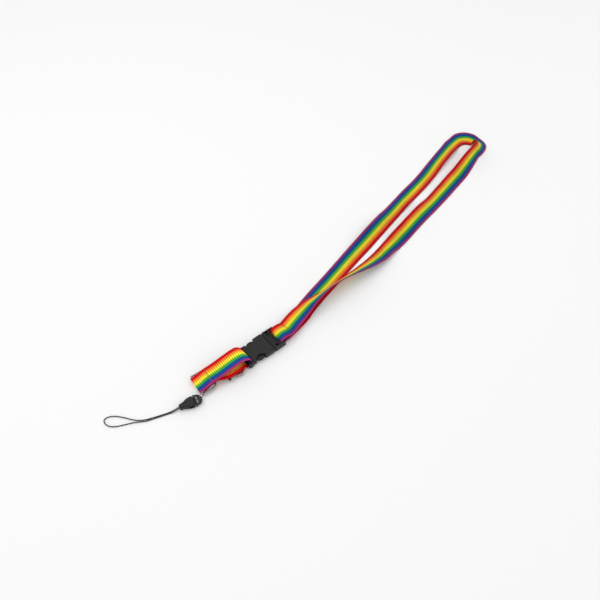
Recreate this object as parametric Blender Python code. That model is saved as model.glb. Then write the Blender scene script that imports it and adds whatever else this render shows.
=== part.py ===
"""Rainbow neck lanyard: a woven neck strap on a side-release buckle, a short strap with a
D-ring and a swivel snap hook, and a quick-release connector with a thin phone string.

The lanyard lies on a table at z = 0 with its long axis on X, its neck loop towards +X.
"""

import math

import bmesh
import bpy
from mathutils import Matrix, Vector

MM = 0.001

# Moves the whole lanyard so that the origin is under the middle of its solid parts
CENTRING = (2.9 * MM, 0.2 * MM, 0.0)

# Ribbon
RIBBON_WIDTH = 20.0 * MM
RIBBON_THICK = 0.8 * MM
RIBBON_STEP = 4.0 * MM
LIFT = 0.5 * MM

# Side-release buckle, in a frame with X from the short strap to the neck strap
BUCKLE_AT = (-166.0 * MM, -8.0 * MM)
BUCKLE_YAW = -9.5
PLUG_END = 23.5 * MM
SOCKET_END = 23.3 * MM
BUCKLE_HALF_WIDTH = 12.2 * MM
BUCKLE_BOTTOM = 0.1 * MM
BUCKLE_TOP = 7.1 * MM
BAR_LENGTH = 2.4 * MM
BAR_LOW = 2.6 * MM
BAR_HIGH = 4.8 * MM
PLUG_SLOT_LENGTH = 3.8 * MM
SOCKET_SLOT_LENGTH = 4.1 * MM
SLOT_HALF_WIDTH = 10.4 * MM
FOLD_GAP = 0.3 * MM
SOCKET_MOUTH = 8.8 * MM
PLUG_FACE = 9.2 * MM
ARM_PIVOT_X = 9.5 * MM
ARM_PIVOT_Y = 8.0 * MM

# Short strap: its fold round the D-ring's bar, and its heading towards the buckle
FOLD_AT = (-239.6 * MM, 8.6 * MM)
FOLD_YAW = -13.5
D_HEIGHT = 3.4 * MM
D_WIRE = 0.85 * MM
D_HALF_WIDTH = 12.0 * MM
D_DEPTH = 16.5 * MM
D_CORNER = 6.0 * MM

# Swivel snap hook, in a frame with its origin at the eye's centre and X towards the hook's end
HOOK_YAW = -33.0
HOOK_HEIGHT = 3.2 * MM
HOOK_THICK = 3.4 * MM
EYE_AT_DEPTH = 16.7 * MM
EYE_RADIUS = 2.4 * MM
EYE_WIRE = 0.7 * MM
BARREL_RADIUS = 2.7 * MM
HOOK_BASE_X = 7.5 * MM
GATE_PIVOT = (12.5 * MM, -2.4 * MM)
BOW_CENTRE_X = 27.0 * MM
BOW_OUTER = 5.9 * MM
BOW_INNER = 3.5 * MM

# Quick-release connector, in a frame with its origin at the clip's hole and X towards the string
LINK_RADIUS = 3.9 * MM
LINK_WIRE = 0.3 * MM
LINK_HEIGHT = 4.25 * MM
LINK_AT = (-1.57 * MM, -12.33 * MM)
LINK_YAW = 193.7
HOLE_FROM_LINK = 3.46 * MM
CONNECTOR_YAW = 159.0
CONNECTOR_HEIGHT = 2.9 * MM
CLIP_RADIUS = 5.8 * MM
CLIP_CENTRE_X = 4.0 * MM
BODY_START = 6.4 * MM
BODY_END = 21.5 * MM
CLIP_ARM_PIVOT = (6.2 * MM, 3.1 * MM)

# Phone string
CORD_RADIUS = 0.5 * MM
CORD_SPACING = 1.3 * MM

COLOURS = {
    "ribbon": ((0.62, 0.16, 0.12), 0.75, 0.0),
    "black_plastic": ((0.03, 0.03, 0.03), 0.45, 0.0),
    "nickel": ((0.60, 0.60, 0.61), 0.25, 1.0),
    "spring_steel": ((0.45, 0.45, 0.47), 0.35, 1.0),
    "black_cord": ((0.04, 0.04, 0.05), 0.80, 0.0),
}


# ---------------------------------------------------------------- scene and small helpers


def clear_scene():
    for obj in list(bpy.data.objects):
        bpy.data.objects.remove(obj, do_unlink=True)


def give_material(obj, kind):
    colour, roughness, metallic = COLOURS[kind]
    material = bpy.data.materials.new(f"{obj.name}_{kind}")
    material.use_nodes = True
    shader = material.node_tree.nodes["Principled BSDF"]
    shader.inputs["Base Color"].default_value = (*colour, 1.0)
    shader.inputs["Roughness"].default_value = roughness
    shader.inputs["Metallic"].default_value = metallic
    obj.data.materials.append(material)


def link(obj, frame=None):
    bpy.context.scene.collection.objects.link(obj)
    obj.parent = frame
    return obj


def empty_frame(name, at, yaw_degrees):
    """A frame turned about Z, for the pieces built around it."""
    frame = link(bpy.data.objects.new(name, None))
    frame.location = at
    frame.rotation_euler = (0.0, 0.0, math.radians(yaw_degrees))
    return frame


def in_plan(at, yaw_degrees, x, y):
    """A point of a turned frame, in the lanyard's own X and Y."""
    yaw = math.radians(yaw_degrees)
    return (
        at[0] + x * math.cos(yaw) - y * math.sin(yaw),
        at[1] + x * math.sin(yaw) + y * math.cos(yaw),
    )


def from_bmesh(name, mesh_data, frame, smooth_angle=35.0):
    bmesh.ops.recalc_face_normals(mesh_data, faces=mesh_data.faces)
    mesh = bpy.data.meshes.new(name)
    mesh_data.to_mesh(mesh)
    mesh_data.free()
    mesh.shade_smooth()
    mesh.set_sharp_from_angle(angle=math.radians(smooth_angle))
    return link(bpy.data.objects.new(name, mesh), frame)


def set_origin(obj, point):
    """Put the object's origin on its joint's axis, leaving its shape in place."""
    obj.data.transform(Matrix.Translation(-Vector(point)))
    obj.location = point


def bevel(obj, width, segments=2):
    modifier = obj.modifiers.new("Bevel", "BEVEL")
    modifier.width = width
    modifier.segments = segments
    modifier.limit_method = "ANGLE"
    modifier.angle_limit = math.radians(40.0)


def combine(obj, other, operation):
    modifier = obj.modifiers.new(operation.title(), "BOOLEAN")
    modifier.operation = operation
    modifier.object = other
    modifier.solver = "EXACT"
    other.hide_render = True
    other.display_type = "WIRE"


def cut(obj, *cutters):
    for cutter in cutters:
        combine(obj, cutter, "DIFFERENCE")


def add(obj, *extras):
    for extra in extras:
        combine(obj, extra, "UNION")


def plate(name, frame, outline, low, high):
    """An outline in the frame's X and Y, extruded from low to high."""
    mesh_data = bmesh.new()
    ring = [mesh_data.verts.new((x, y, low)) for x, y in outline]
    face = mesh_data.faces.new(ring)
    lifted = bmesh.ops.extrude_face_region(mesh_data, geom=[face])["geom"]
    tops = [item for item in lifted if isinstance(item, bmesh.types.BMVert)]
    bmesh.ops.translate(mesh_data, verts=tops, vec=(0.0, 0.0, high - low))
    return from_bmesh(name, mesh_data, frame)


def block(name, frame, x, y, z):
    outline = [(x[0], y[0]), (x[1], y[0]), (x[1], y[1]), (x[0], y[1])]
    return plate(name, frame, outline, z[0], z[1])


def rod(name, frame, start, end, radius, sides=20):
    """A round rod between two points."""
    start, end = Vector(start), Vector(end)
    mesh_data = bmesh.new()
    turn = (end - start).to_track_quat("Z", "Y").to_matrix().to_4x4()
    bmesh.ops.create_cone(
        mesh_data,
        cap_ends=True,
        segments=sides,
        radius1=radius,
        radius2=radius,
        depth=(end - start).length,
        matrix=Matrix.Translation((start + end) / 2) @ turn,
    )
    return from_bmesh(name, mesh_data, frame)


def wire(name, frame, points, radius, resolution=2, closed=False):
    """A round wire or cord along a list of points, as a curve with a bevel."""
    curve = bpy.data.curves.new(name, "CURVE")
    curve.dimensions = "3D"
    curve.bevel_depth = radius
    curve.bevel_resolution = resolution
    curve.use_fill_caps = True
    spline = curve.splines.new("POLY")
    spline.points.add(len(points) - 1)
    for target, point in zip(spline.points, points):
        target.co = (*point, 1.0)
    spline.use_cyclic_u = closed
    return link(bpy.data.objects.new(name, curve), frame)


def arc(centre, radius, start, end, steps):
    """Points on a circle in plan, from one angle to another, in degrees."""
    angles = [math.radians(start + (end - start) * i / steps) for i in range(steps + 1)]
    return [
        (centre[0] + radius * math.cos(a), centre[1] + radius * math.sin(a)) for a in angles
    ]


def smooth_path(points, step):
    """A Catmull-Rom curve through the points, read at about one step apart."""
    padded = [points[0] * 2 - points[1], *points, points[-1] * 2 - points[-2]]
    result = []
    for a, b, c, d in zip(padded, padded[1:], padded[2:], padded[3:]):
        length = math.dist(c[:3], b[:3])
        count = max(1, round(length / step))
        for i in range(count):
            t = i / count
            result.append(
                (
                    b * 2
                    + (c - a) * t
                    + (a * 2 - b * 5 + c * 4 - d) * t**2
                    + (b * 3 - a - c * 3 + d) * t**3
                )
                / 2
            )
    return [*result, points[-1].copy()]


# ---------------------------------------------------------------- ribbons


def side_direction(side_degrees, roll_degrees):
    """From the ribbon's red edge to its purple edge. A positive roll raises the red edge."""
    side, roll = math.radians(side_degrees), math.radians(roll_degrees)
    flat = Vector((math.cos(side), math.sin(side), 0.0)) * math.cos(roll)
    return flat - Vector((0.0, 0.0, math.sin(roll)))


def ribbon(name, stations, step=RIBBON_STEP):
    """A flat ribbon swept through stations of x, y, z in mm, side and roll in degrees."""
    rows = []
    for x, y, z, side, roll in stations:
        across = side_direction(side, roll)
        rows.append(Vector((x * MM, y * MM, z * MM, *across)))
    rows = smooth_path(rows, step)
    centres = [Vector(row[:3]) for row in rows]
    mesh_data = bmesh.new()
    rings = []
    for i, row in enumerate(rows):
        ahead = centres[min(i + 1, len(rows) - 1)]
        behind = centres[max(i - 1, 0)]
        along = (ahead - behind).normalized()
        across = Vector(row[3:])
        across = (across - along * across.dot(along)).normalized()
        up = along.cross(across)
        half = across * RIBBON_WIDTH / 2
        rise = up * RIBBON_THICK / 2
        corners = (half + rise, rise - half, -half - rise, half - rise)
        rings.append([mesh_data.verts.new(centres[i] + corner) for corner in corners])
    for first, second in zip(rings, rings[1:]):
        for k in range(4):
            after = (k + 1) % 4
            mesh_data.faces.new((first[k], first[after], second[after], second[k]))
    mesh_data.faces.new(rings[0])
    mesh_data.faces.new(rings[-1])
    bmesh.ops.triangulate(mesh_data, faces=mesh_data.faces)
    obj = from_bmesh(name, mesh_data, None)
    give_material(obj, "ribbon")
    return obj


def in_buckle(x, z):
    """A ribbon station on the buckle's centre line, with the red edge on its left side."""
    px, py = in_plan(BUCKLE_AT, BUCKLE_YAW, x * MM, 0.0)
    return (px / MM, py / MM, z, BUCKLE_YAW - 90.0, 0.0)


def lying(x, y, side, roll, over=0.0):
    """A station of the neck strap whose lower edge rests on the table, or over mm above it."""
    rise = RIBBON_WIDTH / 2 * abs(math.sin(math.radians(roll)))
    return (x, y, (rise + LIFT) / MM + over, side, roll)


def neck_strap():
    """From its sewn end out along the left leg, round the far turn, back over the plug's bar,
    and round it to a tab between the two layers."""
    sewn_x, sewn_y = in_plan(BUCKLE_AT, BUCKLE_YAW, 28.0 * MM, 0.0)
    left_leg = [
        (sewn_x / MM, sewn_y / MM, 2.6, BUCKLE_YAW + 90.0, 0.0),
        lying(-133.5, -13.2, 82.0, 0.0, 3.4),
        lying(-128.5, -13.2, 86.0, 0.0, 3.7),
        lying(-118.0, -12.2, 93.0, 0.0, 2.4),
        lying(-107.0, -10.6, 96.0, 0.0, 0.6),
        lying(-96.0, -8.2, 97.0, 0.0),
        lying(-75.0, -5.6, 96.5, 0.0),
        lying(-45.0, -3.0, 96.5, 0.0),
        lying(-10.0, 0.2, 96.0, -4.0),
        lying(14.0, 1.4, 95.0, -15.0),
        lying(32.0, 2.8, 95.0, -20.0),
        lying(50.0, 4.5, 95.0, -18.0),
        lying(64.0, 6.2, 95.0, -10.0),
        lying(80.0, 7.7, 95.0, -1.0),
        lying(100.0, 9.3, 94.5, 4.0),
        lying(120.0, 10.6, 94.5, -1.0),
        lying(140.0, 11.6, 96.0, 3.0),
        lying(158.0, 13.3, 99.0, 3.0),
        lying(172.0, 15.3, 99.0, 4.0),
        lying(187.0, 17.4, 98.0, 9.0),
        lying(206.0, 19.8, 93.0, 10.0),
        lying(221.0, 21.4, 80.0, 9.0),
        lying(233.0, 22.6, 60.0, 0.0, 0.25),
    ]
    far_turn = [
        lying(242.5, 21.0, 40.0, -11.0, 0.1),
        lying(249.4, 16.0, 26.0, -12.0, 0.2),
        lying(253.6, 9.4, 12.0, -8.0, 0.4),
        lying(254.6, 2.4, -10.0, 4.0, 0.4),
        lying(252.0, -4.4, -38.0, 24.0, 0.2),
        lying(246.0, -9.0, -62.0, 44.0),
        lying(239.0, -11.4, -76.0, 54.0),
    ]
    right_leg = [
        lying(229.0, -12.0, -85.0, 56.0),
        lying(214.0, -13.3, -88.0, 42.0),
        lying(200.0, -15.0, -87.0, 31.0),
        lying(186.0, -16.5, -86.0, 24.0),
        lying(172.0, -17.0, -86.0, 16.0),
        lying(158.0, -17.8, -87.0, 11.0),
        lying(142.0, -18.8, -88.0, 8.0),
        lying(126.0, -19.5, -88.0, 4.0),
        lying(112.0, -20.4, -88.0, 14.0),
        lying(100.0, -21.2, -88.0, 24.0),
        lying(86.0, -22.0, -88.0, 27.0),
        lying(72.0, -22.9, -88.0, 27.0),
        lying(60.0, -23.6, -88.0, 25.0),
        lying(49.0, -23.8, -88.0, 18.0, 0.2),
        lying(39.0, -23.4, -88.0, 5.0, 0.2),
        lying(28.0, -23.5, -88.0, -7.0),
        lying(14.0, -24.2, -92.0, -13.0),
        lying(0.0, -23.8, -95.0, -22.0),
        lying(-13.0, -22.2, -96.0, -31.0),
        lying(-33.0, -19.1, -97.0, -45.0, 0.4),
        lying(-47.0, -16.8, -98.0, -53.0, 1.3),
        lying(-60.0, -14.6, -99.0, -55.0, 1.7),
        lying(-73.0, -12.8, -97.0, -50.0, 1.7),
        lying(-86.0, -11.0, -96.0, -36.0, 1.9),
        lying(-96.0, -10.2, -93.0, -22.0, 2.6),
        lying(-106.0, -10.4, -89.0, -10.0, 4.0),
        lying(-116.0, -11.3, -86.0, -3.0, 5.4),
        lying(-126.0, -12.6, -90.0, 0.0, 6.0),
        in_buckle(34.0, 7.0),
        in_buckle(28.0, 8.1),
    ]
    wrap = [
        in_buckle(24.2, 8.3),
        in_buckle(21.4, 7.5),
        in_buckle(19.6, 5.9),
        in_buckle(19.0, 4.0),
        in_buckle(19.8, 2.3),
        in_buckle(21.8, 1.65),
        in_buckle(24.4, 2.1),
    ]
    tab = [in_buckle(28.0, 3.9), in_buckle(33.0, 5.3), in_buckle(37.0, 5.5)]
    ribbon("neck_strap", left_leg + far_turn + right_leg + wrap + tab)


def short_strap():
    """From the sewn end under the stitch line, round the D-ring's bar, over to the socket's
    bar, round it, and back under to the stitch line."""
    side = FOLD_YAW - 90.0

    def at(x, z, y=0.0, turn=0.0, roll=0.0):
        px, py = in_plan(FOLD_AT, FOLD_YAW, x * MM, y * MM)
        return (px / MM, py / MM, z, side + turn, roll)

    reach = (D_WIRE + FOLD_GAP + RIBBON_THICK / 2) / MM
    bar_z = D_HEIGHT / MM
    returning = [at(15.5, 7.1), at(12.5, 6.9), at(8.5, 4.9), at(4.5, 2.4)]
    fold = []
    for angle in (-75.0, -105.0, -135.0, -165.0, 165.0, 135.0, 105.0, 75.0):
        turn = math.radians(angle)
        fold.append(at(reach * math.cos(turn), bar_z + reach * math.sin(turn)))
    top = [
        at(4.0, 5.7),
        at(9.0, 7.7),
        at(14.0, 9.1),
        at(20.0, 9.6),
        at(27.0, 10.6, 0.2),
        at(34.0, 12.2, 0.2),
        at(40.0, 13.8, 0.0, 1.0),
        at(45.0, 14.9, -0.2, 2.0),
        at(49.0, 15.2, -0.4, 3.0),
    ]
    wrap = [
        in_buckle(-23.2, 14.2),
        in_buckle(-20.8, 12.0),
        in_buckle(-18.8, 9.0),
        in_buckle(-18.0, 6.2),
        in_buckle(-18.4, 3.6),
        in_buckle(-19.8, 1.9),
        in_buckle(-21.8, 1.5),
        in_buckle(-24.2, 1.9),
    ]
    lower = [
        at(49.8, 3.9, -1.0, 2.0),
        at(47.4, 5.8, -1.9, 0.0),
        at(43.5, 6.5, -3.2, -2.0),
        at(38.0, 6.6, -4.0, -2.0),
        at(32.0, 6.6, -3.6, -4.0),
        at(26.0, 6.8, -1.8, -5.0),
        at(19.0, 8.1, -0.2, -1.0),
        at(15.5, 8.2),
    ]
    ribbon("short_strap", returning + fold + top + wrap + lower, step=3.0 * MM)


# ---------------------------------------------------------------- side-release buckle


def mirrored(outline):
    """Close an outline given for y >= 0 with its mirror image."""
    return outline + [(x, -y) for x, y in reversed(outline)]


def buckle_plug(frame):
    base_outline = mirrored(
        [
            (PLUG_FACE, BUCKLE_HALF_WIDTH - 0.5 * MM),
            (PLUG_FACE + 1.2 * MM, BUCKLE_HALF_WIDTH),
            (PLUG_END - 1.0 * MM, BUCKLE_HALF_WIDTH - 0.3 * MM),
            (PLUG_END, BUCKLE_HALF_WIDTH - 1.2 * MM),
        ]
    )
    plug = plate("buckle_plug", frame, base_outline, BUCKLE_BOTTOM, BUCKLE_TOP)
    bevel(plug, 0.7 * MM)
    bar_inside = PLUG_END - BAR_LENGTH
    wide = (-SLOT_HALF_WIDTH, SLOT_HALF_WIDTH)
    through = (BUCKLE_BOTTOM - 1.0 * MM, BUCKLE_TOP + 1.0 * MM)
    past = PLUG_END + 1.0 * MM
    slot_start = bar_inside - PLUG_SLOT_LENGTH
    slot = block("plug_slot_cutter", frame, (slot_start, bar_inside), wide, through)
    over = block("plug_over_bar_cutter", frame, (slot_start, past), wide, (BAR_HIGH, through[1]))
    under = block("plug_under_bar_cutter", frame, (slot_start, past), wide, (through[0], BAR_LOW))
    cut(plug, slot, over, under)
    tray = block(
        "plug_tray_cutter",
        frame,
        (PLUG_FACE + 1.8 * MM, slot_start - 0.9 * MM),
        (-7.0 * MM, 7.0 * MM),
        (6.1 * MM, through[1]),
    )
    cut(plug, tray)
    rail = block(
        "plug_rail",
        frame,
        (-7.5 * MM, PLUG_FACE + 0.5 * MM),
        (-2.6 * MM, 2.6 * MM),
        (2.5 * MM, 4.7 * MM),
    )
    add(plug, rail)
    for side in (-1.0, 1.0):
        name = "left" if side > 0 else "right"
        recess = block(
            f"plug_root_cutter_{name}",
            frame,
            (PLUG_FACE - 1.0 * MM, PLUG_FACE + 1.9 * MM),
            tuple(sorted((side * 5.9 * MM, side * 10.2 * MM))),
            (1.7 * MM, 5.5 * MM),
        )
        gap = block(
            f"plug_gap_cutter_{name}",
            frame,
            (PLUG_FACE + 2.8 * MM, PLUG_FACE + 6.4 * MM),
            tuple(sorted((side * 8.2 * MM, side * 10.4 * MM))),
            through,
        )
        cut(plug, recess, gap)
    give_material(plug, "black_plastic")
    return plug


def plug_arm(frame, name, side):
    """One springy latch arm: root in the plug's face, pad in the socket's window."""
    outline = [
        (10.7, 6.5),
        (10.7, 9.4),
        (6.0, 9.2),
        (-1.0, 9.0),
        (-2.6, 9.4),
        (-3.4, 10.9),
        (-5.2, 11.9),
        (-8.2, 11.9),
        (-10.8, 10.9),
        (-12.6, 8.9),
        (-12.9, 7.5),
        (-12.0, 6.9),
        (-6.0, 7.4),
        (0.0, 7.0),
        (6.0, 6.5),
    ]
    points = [(x * MM, side * y * MM) for x, y in outline]
    arm = plate(name, frame, points, 2.1 * MM, 5.1 * MM)
    set_origin(arm, (ARM_PIVOT_X, side * ARM_PIVOT_Y, 0.0))
    bevel(arm, 0.35 * MM)
    give_material(arm, "black_plastic")
    return arm


def buckle_socket(frame):
    outline = mirrored(
        [
            (-SOCKET_END, 11.6 * MM),
            (-21.4 * MM, BUCKLE_HALF_WIDTH),
            (-19.0 * MM, 12.0 * MM),
            (-16.6 * MM, 11.0 * MM),
            (-14.8 * MM, 10.7 * MM),
            (-13.4 * MM, 11.4 * MM),
            (-7.0 * MM, 12.0 * MM),
            (SOCKET_MOUTH - 1.5 * MM, BUCKLE_HALF_WIDTH),
            (SOCKET_MOUTH, BUCKLE_HALF_WIDTH - 0.4 * MM),
        ]
    )
    socket = plate("buckle_socket", frame, outline, BUCKLE_BOTTOM, BUCKLE_TOP)
    bevel(socket, 0.8 * MM)
    wide = (-SLOT_HALF_WIDTH, SLOT_HALF_WIDTH)
    through = (BUCKLE_BOTTOM - 1.0 * MM, BUCKLE_TOP + 1.0 * MM)
    bar_inside = -SOCKET_END + BAR_LENGTH
    past = -SOCKET_END - 1.0 * MM
    slot_end = bar_inside + SOCKET_SLOT_LENGTH
    slot = block("socket_slot_cutter", frame, (bar_inside, slot_end), wide, through)
    over = block("socket_over_bar_cutter", frame, (past, slot_end), wide, (BAR_HIGH, through[1]))
    under = block("socket_under_bar_cutter", frame, (past, slot_end), wide, (through[0], BAR_LOW))
    cavity = block(
        "socket_cavity_cutter",
        frame,
        (-13.6 * MM, SOCKET_MOUTH + 1.0 * MM),
        (-9.9 * MM, 9.9 * MM),
        (1.5 * MM, 5.7 * MM),
    )
    cut(socket, slot, over, under, cavity)
    for side in (-1.0, 1.0):
        name = "left" if side > 0 else "right"
        window_outline = [
            (x * MM, side * y * MM)
            for x, y in [(-2.0, 14.0), (-2.0, 11.6), (-3.4, 9.0), (-6.6, 7.2), (-9.8, 7.2)]
            + [(-12.6, 9.0), (-13.9, 11.6), (-13.9, 14.0)]
        ]
        window = plate(f"socket_window_cutter_{name}", frame, window_outline, *through)
        cut(socket, window)
    give_material(socket, "black_plastic")
    return socket


# ---------------------------------------------------------------- D-ring and swivel hook


def d_ring():
    """A round-cornered D of wire, its straight bar in the strap's fold."""
    frame = empty_frame("d_ring_pivot", (*FOLD_AT, D_HEIGHT), FOLD_YAW)
    small = 1.2 * MM
    far, edge = D_DEPTH, D_HALF_WIDTH
    path = arc((small, -edge + small), small, 180.0, 270.0, 3)
    path += arc((far - D_CORNER, -edge + D_CORNER), D_CORNER, 270.0, 360.0, 7)
    path += arc((far - D_CORNER, edge - D_CORNER), D_CORNER, 0.0, 90.0, 7)
    path += arc((small, edge - small), small, 90.0, 180.0, 3)
    obj = wire("d_ring", frame, [(x, y, 0.0) for x, y in path], D_WIRE, 2, closed=True)
    give_material(obj, "nickel")
    return obj


def upright_ring(name, frame, radius, thickness, around, sides):
    """A round ring in the X-Z plane, about the frame's origin."""
    mesh_data = bmesh.new()
    rings = []
    for i in range(around):
        a = 2.0 * math.pi * i / around
        ring = []
        for j in range(sides):
            b = 2.0 * math.pi * j / sides
            reach = radius + thickness * math.cos(b)
            point = (reach * math.cos(a), thickness * math.sin(b), reach * math.sin(a))
            ring.append(mesh_data.verts.new(point))
        rings.append(ring)
    for i in range(around):
        first, second = rings[i], rings[(i + 1) % around]
        for j in range(sides):
            after = (j + 1) % sides
            mesh_data.faces.new((first[j], first[after], second[after], second[j]))
    return from_bmesh(name, mesh_data, frame, 60.0)


def swivel_eye(frame):
    eye = upright_ring("swivel_eye", frame, EYE_RADIUS, EYE_WIRE, 24, 10)
    barrel = rod("eye_barrel", frame, (2.3 * MM, 0, 0), (7.2 * MM, 0, 0), BARREL_RADIUS, 24)
    chamber = rod("eye_chamber_cutter", frame, (3.6 * MM, 0, 0), (5.9 * MM, 0, 0), 1.9 * MM)
    bore = rod("eye_bore_cutter", frame, (5.0 * MM, 0, 0), (8.0 * MM, 0, 0), 1.3 * MM)
    add(eye, barrel)
    cut(eye, chamber, bore)
    give_material(eye, "nickel")
    return eye


def swivel_rivet(frame):
    rivet = rod("swivel_rivet", frame, (4.1 * MM, 0, 0), (5.5 * MM, 0, 0), 1.6 * MM)
    shank = rod("rivet_shank", frame, (5.0 * MM, 0, 0), (9.6 * MM, 0, 0), 1.0 * MM, 16)
    add(rivet, shank)
    give_material(rivet, "nickel")
    return rivet


def hook_body(frame):
    """A claw with its bow round the far end and a fork at its base for the gate."""
    bow = (BOW_CENTRE_X, 0.0)
    outline = [
        (HOOK_BASE_X, -2.9 * MM),
        (9.5 * MM, -4.2 * MM),
        (14.6 * MM, -4.2 * MM),
        (15.6 * MM, -1.4 * MM),
        (16.6 * MM, 1.8 * MM),
        (19.5 * MM, 3.3 * MM),
    ]
    outline += arc(bow, BOW_INNER, 90.0, -96.0, 10)
    outline += [(24.2 * MM, -3.9 * MM), (23.6 * MM, -5.0 * MM), (24.6 * MM, -6.0 * MM)]
    outline += arc(bow, BOW_OUTER, -96.0, 90.0, 12)
    outline += [
        (19.0 * MM, 5.8 * MM),
        (13.5 * MM, 4.4 * MM),
        (9.5 * MM, 3.8 * MM),
        (HOOK_BASE_X, 2.9 * MM),
    ]
    half = HOOK_THICK / 2
    hook = plate("hook_body", frame, outline, -half, half)
    bevel(hook, 0.7 * MM)
    fork = block(
        "hook_fork_cutter",
        frame,
        (10.4 * MM, 16.5 * MM),
        (-9.0 * MM, -0.2 * MM),
        (-1.15 * MM, 1.15 * MM),
    )
    pocket = block(
        "spring_pocket_cutter",
        frame,
        (8.4 * MM, 10.8 * MM),
        (-3.5 * MM, -1.7 * MM),
        (-0.95 * MM, 0.95 * MM),
    )
    bore = rod("hook_bore_cutter", frame, (7.0 * MM, 0, 0), (10.0 * MM, 0, 0), 1.3 * MM)
    pin_hole = rod(
        "hook_pin_cutter", frame, (*GATE_PIVOT, -3.0 * MM), (*GATE_PIVOT, 3.0 * MM), 0.85 * MM
    )
    cut(hook, fork, pocket, bore, pin_hole)
    give_material(hook, "nickel")
    return hook


def hook_gate(frame):
    """The gate lever: its root in the fork, its thumb knob outside, its end on the nose."""
    px, py = GATE_PIVOT
    root = arc((px, py), 1.6 * MM, 100.0, 240.0, 7)
    lever = [
        (14.4, -4.3),
        (15.2, -6.6),
        (15.4, -8.4),
        (16.6, -9.4),
        (18.0, -8.9),
        (18.2, -7.4),
        (17.9, -5.9),
        (20.0, -5.6),
        (23.1, -5.6),
        (23.3, -4.6),
        (23.6, -3.7),
        (20.0, -3.2),
        (16.0, -2.6),
        (14.2, -1.2),
    ]
    outline = root + [(x * MM, y * MM) for x, y in lever]
    gate = plate("hook_gate", frame, outline, -0.85 * MM, 0.85 * MM)
    hole = rod(
        "gate_hole_cutter", frame, (px, py, -2.0 * MM), (px, py, 2.0 * MM), 0.85 * MM
    )
    set_origin(gate, (px, py, 0.0))
    bevel(gate, 0.25 * MM, 1)
    cut(gate, hole)
    give_material(gate, "nickel")
    return gate


def gate_pin(frame):
    pin = rod("gate_pin", frame, (*GATE_PIVOT, -1.6 * MM), (*GATE_PIVOT, 1.6 * MM), 0.55 * MM, 16)
    give_material(pin, "spring_steel")
    return pin


def gate_spring(frame):
    """A small coil between the fork's floor and the gate's root."""
    turns, per_turn, coil, thickness = 3.5, 10, 0.55 * MM, 0.12 * MM
    start, end, centre_y = 8.75 * MM, 10.4 * MM, -2.6 * MM
    count = round(turns * per_turn)
    points = []
    for i in range(count + 1):
        angle = 2.0 * math.pi * i / per_turn
        along = start + (end - start) * i / count
        points.append((along, centre_y + coil * math.cos(angle), coil * math.sin(angle)))
    spring = wire("gate_spring", frame, points, thickness, 0)
    give_material(spring, "spring_steel")
    return spring


# ---------------------------------------------------------------- connector and string


def link_ring(frame):
    ring = upright_ring("link_ring", frame, LINK_RADIUS, LINK_WIRE, 28, 8)
    give_material(ring, "nickel")
    return ring


def connector_clip(frame):
    """A half disc with a ring hole and a slot, on the tongue that enters the body."""
    half = 1.1 * MM
    disc = arc((CLIP_CENTRE_X, 0.0), CLIP_RADIUS, 90.0, 270.0, 18)
    outline = disc + [(5.9 * MM, -5.7 * MM), (5.9 * MM, 5.7 * MM)]
    clip = plate("connector_clip", frame, outline, -half, half)
    bevel(clip, 0.4 * MM)
    collar = block(
        "clip_collar",
        frame,
        (4.5 * MM, 6.0 * MM),
        (-5.6 * MM, 5.6 * MM),
        (-2.3 * MM, 2.3 * MM),
    )
    tongue = block(
        "clip_tongue",
        frame,
        (5.5 * MM, 12.5 * MM),
        (-1.2 * MM, 1.2 * MM),
        (-0.9 * MM, 0.9 * MM),
    )
    add(clip, collar, tongue)
    hole = rod("clip_hole_cutter", frame, (0, 0, -3.0 * MM), (0, 0, 3.0 * MM), 1.15 * MM)
    slot = block(
        "clip_slot_cutter",
        frame,
        (2.5 * MM, 4.0 * MM),
        (-4.2 * MM, 4.2 * MM),
        (-3.0 * MM, 3.0 * MM),
    )
    cut(clip, hole, slot)
    for side in (-1.0, 1.0):
        recess = block(
            f"clip_root_cutter_{'left' if side > 0 else 'right'}",
            frame,
            (5.2 * MM, 6.6 * MM),
            tuple(sorted((side * 2.1 * MM, side * 4.2 * MM))),
            (-1.3 * MM, 1.3 * MM),
        )
        cut(clip, recess)
    give_material(clip, "black_plastic")
    return clip


def clip_arm(frame, name, side):
    outline = [
        (5.5, 2.4),
        (5.5, 3.9),
        (8.2, 3.9),
        (8.9, 4.4),
        (10.2, 4.75),
        (11.6, 4.4),
        (12.7, 3.3),
        (12.3, 2.7),
        (9.5, 2.9),
    ]
    points = [(x * MM, side * y * MM) for x, y in outline]
    arm = plate(name, frame, points, -1.0 * MM, 1.0 * MM)
    px, py = CLIP_ARM_PIVOT
    set_origin(arm, (px, side * py, 0.0))
    bevel(arm, 0.2 * MM, 1)
    give_material(arm, "black_plastic")
    return arm


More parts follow.
